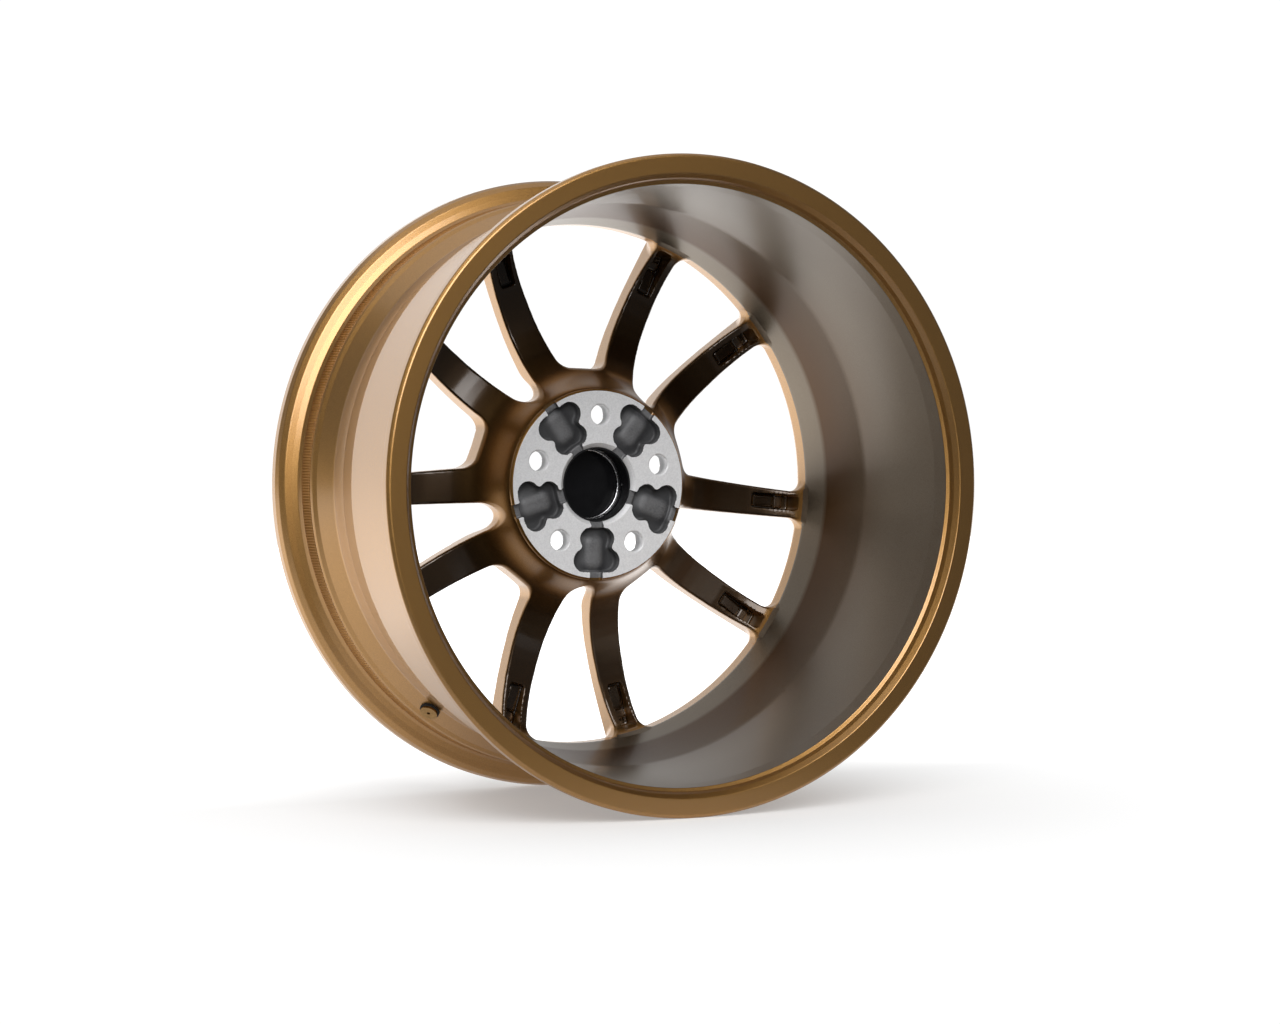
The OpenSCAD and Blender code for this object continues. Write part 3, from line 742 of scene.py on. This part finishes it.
def cast_aluminium():
    """Bare forging skin in the pockets, with painted shade that darkens it towards their floor."""
    s = Shader("cast_pocket", Metallic=0.3)
    sand = s.noise(700, 4.0)
    cloud = s.noise(60, 2.0)
    tone = s.mix(s.stretch(sand, 0.3, 0.7, 0, 1), (0.10, 0.10, 0.103), (0.17, 0.17, 0.175))
    tone = s.mix(s.stretch(cloud, 0.3, 0.7, 0, 0.5), tone, (0.20, 0.20, 0.205))
    depth = s.part(s.place, "Y")
    # Painted shade: darker the further the pocket goes below the pad
    painted_depth_shade = s.stretch(depth, (PAD_Y - 4.4) * MM, (PAD_Y - 8.0) * MM, 0, 0.85)
    s.colour(s.mix(painted_depth_shade, tone, (0.035, 0.035, 0.037)))
    s.roughness(s.stretch(sand, 0.3, 0.7, 0.5, 0.66))
    s.bump(sand, 0.00012, 0.5)
    return s.material


def black_plastic(name, low, high, grain_scale, relief):
    s = Shader(name, Specular_IOR_Level=0.3)
    grain = s.noise(grain_scale, 3.0)
    s.colour(s.mix(grain, (0.003, 0.003, 0.0035), (0.008, 0.008, 0.009)))
    s.roughness(s.stretch(grain, 0.3, 0.7, low, high))
    s.bump(grain, relief, 0.3)
    return s.material


def plain_metal(name, dark, light, low, high, scale=500):
    s = Shader(name, Metallic=1.0)
    grain = s.noise(scale, 3.0)
    s.colour(s.mix(s.stretch(grain, 0.3, 0.7, 0, 1), dark, light))
    s.roughness(s.stretch(grain, 0.3, 0.7, low, high))
    s.bump(grain, 0.00001, 0.3)
    return s.material


def rubber():
    s = Shader("valve_rubber", Roughness=0.8)
    grain = s.noise(1500, 3.0)
    s.colour(s.mix(grain, (0.012, 0.012, 0.012), (0.03, 0.03, 0.03)))
    s.bump(grain, 0.00005, 0.5)
    return s.material


forging_materials = [bronze_paint(), machined_aluminium(), cast_aluminium(), barrel_paint_and_shade()]
seam = build_forging_centre(forging_materials)
build_rim(seam, forging_materials)
build_knurl(forging_materials)

finishes = {
    "centring_sleeve": black_plastic("sleeve_plastic", 0.4, 0.55, 700, 0.00004),
    "centre_cap": black_plastic("cap_plastic", 0.12, 0.18, 120, 0.00001),
    "cap_insert": black_plastic("cap_gloss", 0.08, 0.14, 90, 0.00001),
    "cap_spring_ring": plain_metal("spring_steel", (0.55, 0.55, 0.57), (0.72, 0.72, 0.74), 0.2, 0.3),
    "valve_stem": plain_metal("valve_aluminium", (0.24, 0.135, 0.045), (0.38, 0.23, 0.09), 0.28, 0.4),
    "valve_core_body": plain_metal("brass", (0.62, 0.44, 0.18), (0.78, 0.60, 0.30), 0.25, 0.35),
    "valve_grommet": rubber(),
}
same_as = {
    "valve_nut": "valve_stem", "valve_washer": "valve_stem", "valve_cap": "valve_stem",
    "valve_core_pin": "valve_core_body", "valve_core_spring": "cap_spring_ring",
    "valve_core_seal": "valve_grommet", "valve_cap_seal": "valve_grommet"}
for node, other in same_as.items():
    finishes[node] = finishes[other]
for node, material in finishes.items():
    mesh = frame["nodes"][node].data
    mesh.materials.clear()
    mesh.materials.append(material)

# ---- Floor, light and camera ----

# Brightness of the surroundings from the street side to the inboard side, as a
# share of the backdrop's: each step is a direction's Y and its level
BACKDROP = 1.8
SEEN_WHITE = 1.05
SURROUND = ((-0.93, 1.0), (-0.84, 0.34), (-0.4, 0.13), (0.1, 0.055), (0.98, 0.055))

FLOOR_Z = cad_box[0][2]
FLOOR_MATT_R = 0.12
FLOOR_LIT_R = 0.50
FLOOR_FRONT_GLOW = 0.12


def plane(name, size, place, turn=(0, 0, 0)):
    bpy.ops.mesh.primitive_plane_add(size=size, location=place, rotation=turn)
    made = bpy.context.object
    made.name = name
    return made


def floor_material():
    """Pale and matt under the wheel, bright further out as in a lit white sweep."""
    s = Shader("studio_floor", Roughness=0.6, Specular_IOR_Level=0.1)
    s.colour(s.mix(s.noise(3, 2.0), (0.90, 0.90, 0.90), (0.92, 0.92, 0.92)))
    lit = s.node("Emission", Color=(1, 1, 1, 1))
    glow = s.stretch(s.part(s.place, "Y"), -0.4, 0.3, BACKDROP, FLOOR_FRONT_GLOW)
    seen = s.node("LightPath").outputs["Is Camera Ray"]
    strength = s.math("MAXIMUM", glow, s.math("MULTIPLY", seen, SEEN_WHITE))
    s.link(strength, lit.inputs["Strength"])
    away = s.node("VectorMath", operation="LENGTH")
    s.link(s.place, away.inputs[0])
    share = s.stretch(away.outputs["Value"], FLOOR_MATT_R, FLOOR_LIT_R, 0.3, 1)
    blend = s.node("MixShader")
    s.link(share, blend.inputs[0])
    s.link(s.surface.outputs[0], blend.inputs[1])
    s.link(lit.outputs[0], blend.inputs[2])
    s.link(blend.outputs[0], s.tree.nodes["Material Output"].inputs["Surface"])
    return s.material


floor = plane("studio_floor", 12, (0, 0, FLOOR_Z))
floor.data.materials.append(floor_material())


def soft_light(name, place, size, power, target=(0, 0, 0)):
    """A square lamp that faces target."""
    data = bpy.data.lights.new(name, "AREA")
    data.shape = "RECTANGLE"
    data.size, data.size_y = size
    data.energy = power
    lamp = bpy.data.objects.new(name, data)
    lamp.location = place
    lamp.rotation_euler = (Vector(target) - Vector(place)).to_track_quat("-Z", "Y").to_euler()
    bpy.context.collection.objects.link(lamp)
    return lamp


soft_light("overhead", (0.3, -0.3, 2.6), (3.0, 3.0), 18)
soft_light("key", (0.95, 2.1, 1.45), (2.2, 2.2), 88)


def fill_ramp(stops):
    """Puts a stop at each step of SURROUND in place of the ramp's own two."""
    while len(stops) > 1:
        stops.remove(stops[0])
    for at, level in SURROUND:
        stop = stops.new((at + 1) / 2)
        stop.color = (level, level, level, 1)
    stops.remove(stops[-1])


def studio_world():
    """A bright backdrop on the street side and dim surroundings elsewhere."""
    world = bpy.data.worlds.new("studio")
    world.use_nodes = True
    tree = world.node_tree
    nodes, links = tree.nodes, tree.links
    background = nodes["Background"]
    white = nodes.new("ShaderNodeBackground")
    white.inputs["Color"].default_value = (1, 1, 1, 1)
    white.inputs["Strength"].default_value = SEEN_WHITE
    place = nodes.new("ShaderNodeTexCoord")
    apart = nodes.new("ShaderNodeSeparateXYZ")
    links.new(place.outputs["Generated"], apart.inputs[0])
    share = nodes.new("ShaderNodeMapRange")
    share.inputs["From Min"].default_value = -1
    links.new(apart.outputs["Y"], share.inputs["Value"])
    ramp = nodes.new("ShaderNodeValToRGB")
    fill_ramp(ramp.color_ramp.elements)
    links.new(share.outputs["Result"], ramp.inputs["Fac"])
    links.new(ramp.outputs["Color"], background.inputs["Color"])
    background.inputs["Strength"].default_value = BACKDROP
    rays = nodes.new("ShaderNodeLightPath")
    blend = nodes.new("ShaderNodeMixShader")
    links.new(rays.outputs["Is Camera Ray"], blend.inputs[0])
    links.new(background.outputs[0], blend.inputs[1])
    links.new(white.outputs[0], blend.inputs[2])
    links.new(blend.outputs[0], nodes["World Output"].inputs["Surface"])
    return world


bpy.context.scene.world = studio_world()
bpy.context.scene.view_settings.view_transform = "Standard"

CAMERA_PLACE = Vector((0.9734, 1.9531, 0.02245))
CAMERA_BACK = Vector((0.4512, 0.8922, 0.0200)).normalized()
CAMERA_ROLL = math.radians(0.07)
LENS, SENSOR = 78.05, 36


def photo_camera():
    """The camera that was fitted to the photograph."""
    data = bpy.data.cameras.new("camera")
    data.lens, data.sensor_width = LENS, SENSOR
    made = bpy.data.objects.new("camera", data)
    right = Vector((0, 0, 1)).cross(CAMERA_BACK).normalized()
    up = CAMERA_BACK.cross(right)
    roll = Matrix.Rotation(CAMERA_ROLL, 3, "Z")
    facing = Matrix((right, up, CAMERA_BACK)).transposed() @ roll
    made.matrix_world = Matrix.Translation(CAMERA_PLACE) @ facing.to_4x4()
    bpy.context.collection.objects.link(made)
    return made


bpy.context.scene.camera = photo_camera()
